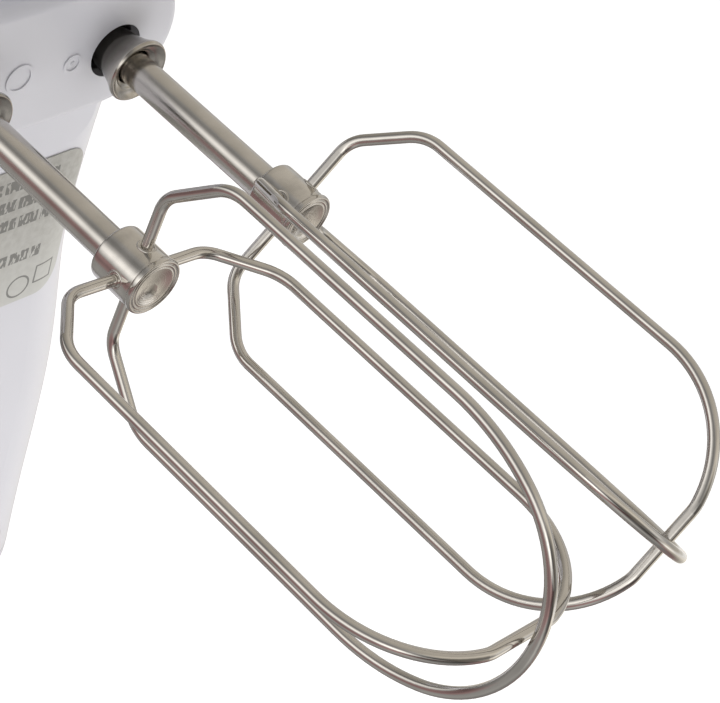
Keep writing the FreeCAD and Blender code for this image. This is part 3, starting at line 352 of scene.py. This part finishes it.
def make_hub(number):
    """Pressed hub: back chamfer, groove, rolled bead and a ringed, dished face."""
    node = "beater_%d_hub" % number
    low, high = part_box(node)
    back, front = high[1], low[1]
    rim = half_width(node)
    side = rim - 0.2 * mm
    profile = [
        (0, back), (rim * 0.5, back), (rim * 0.8, back), (side - 0.3 * mm, back - 0.05 * mm),
        (side, back - 0.4 * mm), (side, back - 1.0 * mm), (side, front + 2.4 * mm), (side, front + 1.5 * mm),
        (side - 0.25 * mm, front + 1.25 * mm), (side - 0.25 * mm, front + 1.05 * mm),
        (rim - 0.03 * mm, front + 0.85 * mm), (rim, front + 0.6 * mm), (rim, front + 0.35 * mm),
        (rim - 0.15 * mm, front + 0.06 * mm), (rim - 0.35 * mm, front), (rim - 0.55 * mm, front + 0.06 * mm),
        (rim - 0.65 * mm, front + 0.2 * mm), (rim - 0.78 * mm, front + 0.2 * mm),
        (rim - 0.88 * mm, front + 0.07 * mm), (rim - 1.15 * mm, front + 0.06 * mm),
        (rim - 1.25 * mm, front + 0.17 * mm), (rim - 1.4 * mm, front + 0.17 * mm),
        (rim - 1.5 * mm, front + 0.07 * mm), (rim - 1.8 * mm, front + 0.13 * mm),
        (rim * 0.5, front + 0.33 * mm), (rim * 0.33, front + 0.46 * mm), (rim * 0.15, front + 0.55 * mm),
        (0, front + 0.57 * mm)]
    piece = finished("pressed_hub_%d" % number, spun(profile, beater_centre(number), False),
                     hub_steel[number], "beater_%d" % number)
    rounded(piece)
    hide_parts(node)


def make_collar(number):
    """Trumpet collar: plain neck in the socket, thin rolled rim and a stepped funnel in front."""
    node = "beater_%d_collar" % number
    low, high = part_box(node)
    back, front = high[1], low[1]
    rim = half_width(node)
    bore = half_width("beater_%d_shaft" % number)
    neck = bore + 1.2 * mm
    profile = [
        (bore - 0.05 * mm, back), (neck - 0.1 * mm, back), (neck, back - 0.2 * mm), (neck, back - 1.0 * mm),
        (neck, front + 7.4 * mm), (neck + 0.12 * mm, front + 5.8 * mm),
        (neck + 0.4 * mm, front + 4.3 * mm), (neck + 0.85 * mm, front + 2.9 * mm),
        (neck + 1.4 * mm, front + 1.7 * mm), (rim - 0.08 * mm, front + 1.0 * mm),
        (rim, front + 0.7 * mm), (rim, front + 0.4 * mm),
        (rim - 0.15 * mm, front + 0.08 * mm), (rim - 0.35 * mm, front), (rim - 0.55 * mm, front + 0.15 * mm),
        (rim - 1.0 * mm, front + 0.6 * mm), (rim - 1.6 * mm, front + 0.9 * mm),
        (rim - 2.0 * mm, front + 1.0 * mm), (rim - 2.15 * mm, front + 1.25 * mm),
        (rim - 2.5 * mm, front + 1.45 * mm), (bore - 0.05 * mm, front + 1.6 * mm)]
    piece = finished("trumpet_collar_%d" % number, spun(profile, beater_centre(number), True),
                     socket_shaded_collar_steel, "beater_%d" % number)
    rounded(piece)
    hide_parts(node)


def wire_root(number, loop):
    """Direction and height at which a loop's wire meets the hub."""
    centre = beater_centre(number)
    hub = "beater_%d_hub" % number
    rim, hub_end, near_rim = half_width(hub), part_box(hub)[0][1], 4.5 * mm
    total = Vector((0, 0))
    heights = []
    for vertex in nodes["beater_%d_%s" % (number, loop)].data.vertices:
        across = Vector((vertex.co.x - centre[0], vertex.co.z - centre[1]))
        if abs(across.length - rim) < near_rim and vertex.co.y > hub_end:
            angle = 2 * math.atan2(across.y, across.x)      # both ends of a loop count alike
            total += Vector((math.cos(angle), math.sin(angle)))
            heights.append(vertex.co.y)
    angle = math.atan2(total.y, total.x) / 2
    return angle, (min(heights) + max(heights)) / 2


def bead_ring(bm, seat, toward, ring_radius, bead):
    """Round bead bent into a ring that lies across the direction it faces."""
    along = toward.orthogonal().normalized()
    beside = along.cross(toward)
    start = seat + along * ring_radius
    made = bmesh.ops.create_circle(bm, cap_ends=False, radius=bead, segments=10)
    place = Matrix((along, toward, beside)).transposed().to_4x4()
    place.translation = start
    bmesh.ops.transform(bm, matrix=place, verts=made["verts"])
    edges = list({edge for vertex in made["verts"] for edge in vertex.link_edges})
    bmesh.ops.spin(bm, geom=made["verts"] + edges, cent=seat, axis=toward, dvec=(0, 0, 0),
                   angle=math.tau, steps=32, use_merge=True)


def make_root_seats(number):
    """Low pressed ring around each of a hub's four wire ends."""
    centre = beater_centre(number)
    rim = half_width("beater_%d_hub" % number)
    ring_radius, bead, sunk = 1.4 * mm, 0.24 * mm, 0.38 * mm
    bm = bmesh.new()
    for loop in ("outer_loop", "inner_loop"):
        angle, height = wire_root(number, loop)
        for turn in (angle, angle + math.pi):
            toward = Vector((math.cos(turn), 0, math.sin(turn)))
            seat = Vector((centre[0], height, centre[1])) + toward * (rim - sunk)
            bead_ring(bm, seat, toward, ring_radius, bead)
    finished("wire_seats_%d" % number, bm, stem_steel, "beater_%d" % number)


def make_eject_coil():
    """The eject spring's own coil, as a piece of its own on the housing."""
    bm = bmesh.new()
    bm.from_mesh(nodes["eject_spring"].data)
    piece = finished("eject_coil", bm, zinc_steel, "housing")
    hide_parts("eject_spring")
    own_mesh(piece)


def travel_of(name):
    """A sliding joint's far limit, in metres."""
    return next(joint["range_m"][1] for joint in frame["joints"] if joint["name"] == name)


def make_speed_scale():
    """Raised numbers from 0 to 5 beside the speed slider, on the rounded edge of the handle."""
    low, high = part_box("speed_slider")
    cover_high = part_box("handle_cover")[1]
    edge_radius, number_x, relief, number_size, last = 10 * mm, 9.8 * mm, 0.12 * mm, 2.6 * mm, 5
    lean = math.asin((number_x - (cover_high[0] - edge_radius)) / edge_radius)
    outward = Vector((math.sin(lean), math.cos(lean), 0))
    upward = Vector((0, 0, 1))
    rightward = upward.cross(outward)
    surface_y = cover_high[1] - edge_radius * (1 - math.cos(lean))
    step = travel_of("speed_select") / last
    bm = bmesh.new()
    for number in range(last + 1):
        text = bpy.data.curves.new("speed_number", "FONT")
        text.body = str(number)
        text.size = number_size
        text.align_x, text.align_y = "CENTER", "CENTER"
        text.extrude = relief
        sign = bpy.data.objects.new("speed_number", text)
        digit = bpy.data.meshes.new_from_object(sign)
        place = Matrix((rightward, upward, outward)).transposed().to_4x4()
        place.translation = (number_x, surface_y, (low[2] + high[2]) / 2 + step * number)
        digit.transform(place)
        bm.from_mesh(digit)
        bpy.data.objects.remove(sign)
    finished("speed_numbers", bm, black_plastic, "housing")


def make_boss_marks():
    """Moulding marks between the sockets: soft rings, one with a pip."""
    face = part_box("lower_housing")[0][1] + 0.33 * mm
    middle = beater_centre(1)[1]
    outward = Vector((0, -1, 0))
    bm = bmesh.new()
    marks_mm = ((-4.6, 0.8, 2.6, 0.32), (7.0, 0.3, 1.65, 0.32), (7.1, 0.3, 0.24, 0.24))
    for x, lift, ring_radius, bead in marks_mm:
        bead_ring(bm, Vector((x * mm, face, middle + lift * mm)), outward, ring_radius * mm, bead * mm)
    finished("boss_marks", bm, white_shell, "housing")


hub_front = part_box("beater_1_hub")[0][1]
hub_steel = {number: pressed_steel("hub_steel_%d" % number, bright_steel, 0.13, beater_centre(number),
                                   hub_front, (-0.2 * mm, -1.3 * mm)) for number in (1, 2)}
socket_shaded_collar_steel = darkened_neck("socket_shaded_collar_steel", (0.56, 0.53, 0.49), 0.15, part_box("beater_1_collar")[0][1])
make_eject_coil()
make_speed_scale()
make_boss_marks()
for beater in (1, 2):
    make_hub(beater)
    make_collar(beater)
    make_root_seats(beater)


# ---------------------------------------------------------------- stage, light and camera
def make_floor():
    half_size, below_heel = 6, 0.5 * mm
    r = Recipe("pale_floor", (0.93, 0.93, 0.93), 0.6, Emission_Color=(1, 1, 1, 1), Emission_Strength=0.47)
    bm = bmesh.new()
    bmesh.ops.create_grid(bm, x_segments=1, y_segments=1, size=half_size)
    bmesh.ops.translate(bm, verts=bm.verts, vec=(0, 0, -below_heel))
    mesh = bpy.data.meshes.new("floor")
    bm.to_mesh(mesh)
    bm.free()
    floor = bpy.data.objects.new("floor", mesh)
    mesh.materials.append(r.material)
    floor.visible_glossy = False
    bpy.context.scene.collection.objects.link(floor)


# Radiance around the beaters' axis, by angle from +X towards +Z: what polished round metal mirrors
warm, neutral, wine = (1.06, 0.99, 0.87), (1.02, 1.0, 0.97), (1.34, 0.88, 0.87)
surround = [
    (0, 0.62, neutral), (25, 0.60, warm), (46, 0.57, warm), (75, 0.53, warm), (92, 0.47, warm),
    (104, 0.38, neutral), (116, 0.26, neutral), (126, 0.30, neutral), (138, 0.74, neutral),
    (148, 1.35, neutral), (158, 1.5, neutral), (168, 0.95, neutral), (178, 0.45, neutral),
    (186, 0.30, wine), (196, 0.20, wine), (206, 0.27, wine), (216, 0.36, neutral), (240, 0.42, neutral),
    (262, 0.30, neutral), (284, 0.24, neutral), (298, 0.20, wine), (308, 0.42, warm),
    (318, 0.85, warm), (328, 0.95, neutral), (338, 0.55, warm), (350, 0.42, neutral)]


def ring_place(angle):
    """Where a radial gradient puts an angle in degrees from +X."""
    return (angle / 360 + 0.5) % 1.0


def mirrored_surround(tree, direction):
    """Colour seen by mirror rays: bands by angle around the Y axis, dimmed along it."""
    split = add_node(tree, "ShaderNodeSeparateXYZ", {"Vector": direction})
    flat = add_node(tree, "ShaderNodeCombineXYZ", {"X": split.outputs["X"], "Y": split.outputs["Z"]})
    radial = add_node(tree, "ShaderNodeTexGradient", {"Vector": flat.outputs["Vector"]},
                      gradient_type="RADIAL")
    bands = add_node(tree, "ShaderNodeValToRGB", {"Fac": radial.outputs["Fac"]})
    elements = bands.color_ramp.elements
    elements[0].position, elements[1].position = 0.0, 1.0
    placed = sorted((ring_place(angle), level, tint) for angle, level, tint in surround)
    seam = placed[0]
    elements[0].color = elements[1].color = opaque(shade(seam[2], seam[1]))
    for place, level, tint in placed:
        elements.new(place).color = opaque(shade(tint, level))
    height = add_node(tree, "ShaderNodeMapRange", {"From Min": -1.0, "Value": split.outputs["Y"]})
    ends = add_node(tree, "ShaderNodeValToRGB", {"Fac": height.outputs["Result"]})
    elements = ends.color_ramp.elements
    elements[0].position, elements[1].position = 0.0, 1.0
    elements[0].color, elements[1].color = (0.3, 0.29, 0.28, 1), (0.5, 0.5, 0.5, 1)
    for along, level in ((-0.9, 0.4), (-0.74, 1.45), (-0.6, 1.3), (-0.48, 1.0), (0.55, 1.0), (0.8, 0.7)):
        elements.new((along + 1) / 2).color = (level, level, level, 1)
    product = add_node(tree, "ShaderNodeMix", {MIX_FACTOR: 1.0, MIX_A: bands.outputs["Color"],
                                               MIX_B: ends.outputs["Color"]},
                       data_type="RGBA", blend_type="MULTIPLY")
    return product.outputs[MIX_RESULT]


def soft_room(tree, direction, level, slope):
    """Light for matt surfaces: a level with a slope across the room."""
    lean = add_node(tree, "ShaderNodeVectorMath", {0: direction, 1: slope}, operation="DOT_PRODUCT")
    total = add_node(tree, "ShaderNodeMath", {0: lean.outputs["Value"], 1: level}, operation="ADD")
    return total.outputs["Value"]


def area_light(name, position, target, size, power):
    """Lamp of metres and watts that neither the camera nor polished metal sees."""
    data = bpy.data.lights.new(name, "AREA")
    data.shape = "RECTANGLE"
    data.size, data.size_y = size
    data.energy = power
    lamp = bpy.data.objects.new(name, data)
    lamp.location = position
    direction = Vector(target) - Vector(position)
    lamp.rotation_euler = direction.to_track_quat("-Z", "Y").to_euler()
    lamp.visible_glossy = False
    lamp.visible_camera = False
    bpy.context.scene.collection.objects.link(lamp)


def make_light():
    world = bpy.data.worlds.new("studio")
    bpy.context.scene.world = world
    world.use_nodes = True
    tree = world.node_tree
    matt = tree.nodes["Background"]
    direction = add_node(tree, "ShaderNodeTexCoord").outputs["Generated"]
    room_level, room_slope = 0.57, (0.52, 0.30, 0.12)
    matt.inputs["Color"].default_value = (1.0, 0.995, 1.0, 1)
    tree.links.new(soft_room(tree, direction, room_level, room_slope), matt.inputs["Strength"])
    mirrored = add_node(tree, "ShaderNodeBackground", {"Color": mirrored_surround(tree, direction)})
    ray = add_node(tree, "ShaderNodeLightPath")
    mix = add_node(tree, "ShaderNodeMixShader", {
        "Fac": ray.outputs["Is Glossy Ray"], 1: matt.outputs["Background"],
        2: mirrored.outputs["Background"]})
    tree.links.new(mix.outputs["Shader"], tree.nodes["World Output"].inputs["Surface"])
    area_light("heel_fill", position=(0.03, -0.16, 0.03), target=(0, -0.03, 0.03), size=(0.10, 0.06),
               power=0.05)


def make_camera():
    data = bpy.data.cameras.new("camera")
    data.sensor_width = 36
    data.lens = 115.4
    camera = bpy.data.objects.new("camera", data)
    right = Vector((0.67977, -0.67851, 0.27845))
    up = Vector((0.33251, 0.62351, 0.70758))
    back = Vector((-0.65372, -0.38841, 0.64946))
    place = Vector((-0.23086, -0.24868, 0.38255))
    camera.matrix_world = Matrix((
        (right.x, up.x, back.x, place.x), (right.y, up.y, back.y, place.y),
        (right.z, up.z, back.z, place.z), (0, 0, 0, 1)))
    bpy.context.scene.collection.objects.link(camera)
    bpy.context.scene.camera = camera


make_floor()
make_light()
make_camera()
bpy.context.scene.view_settings.view_transform = "Standard"
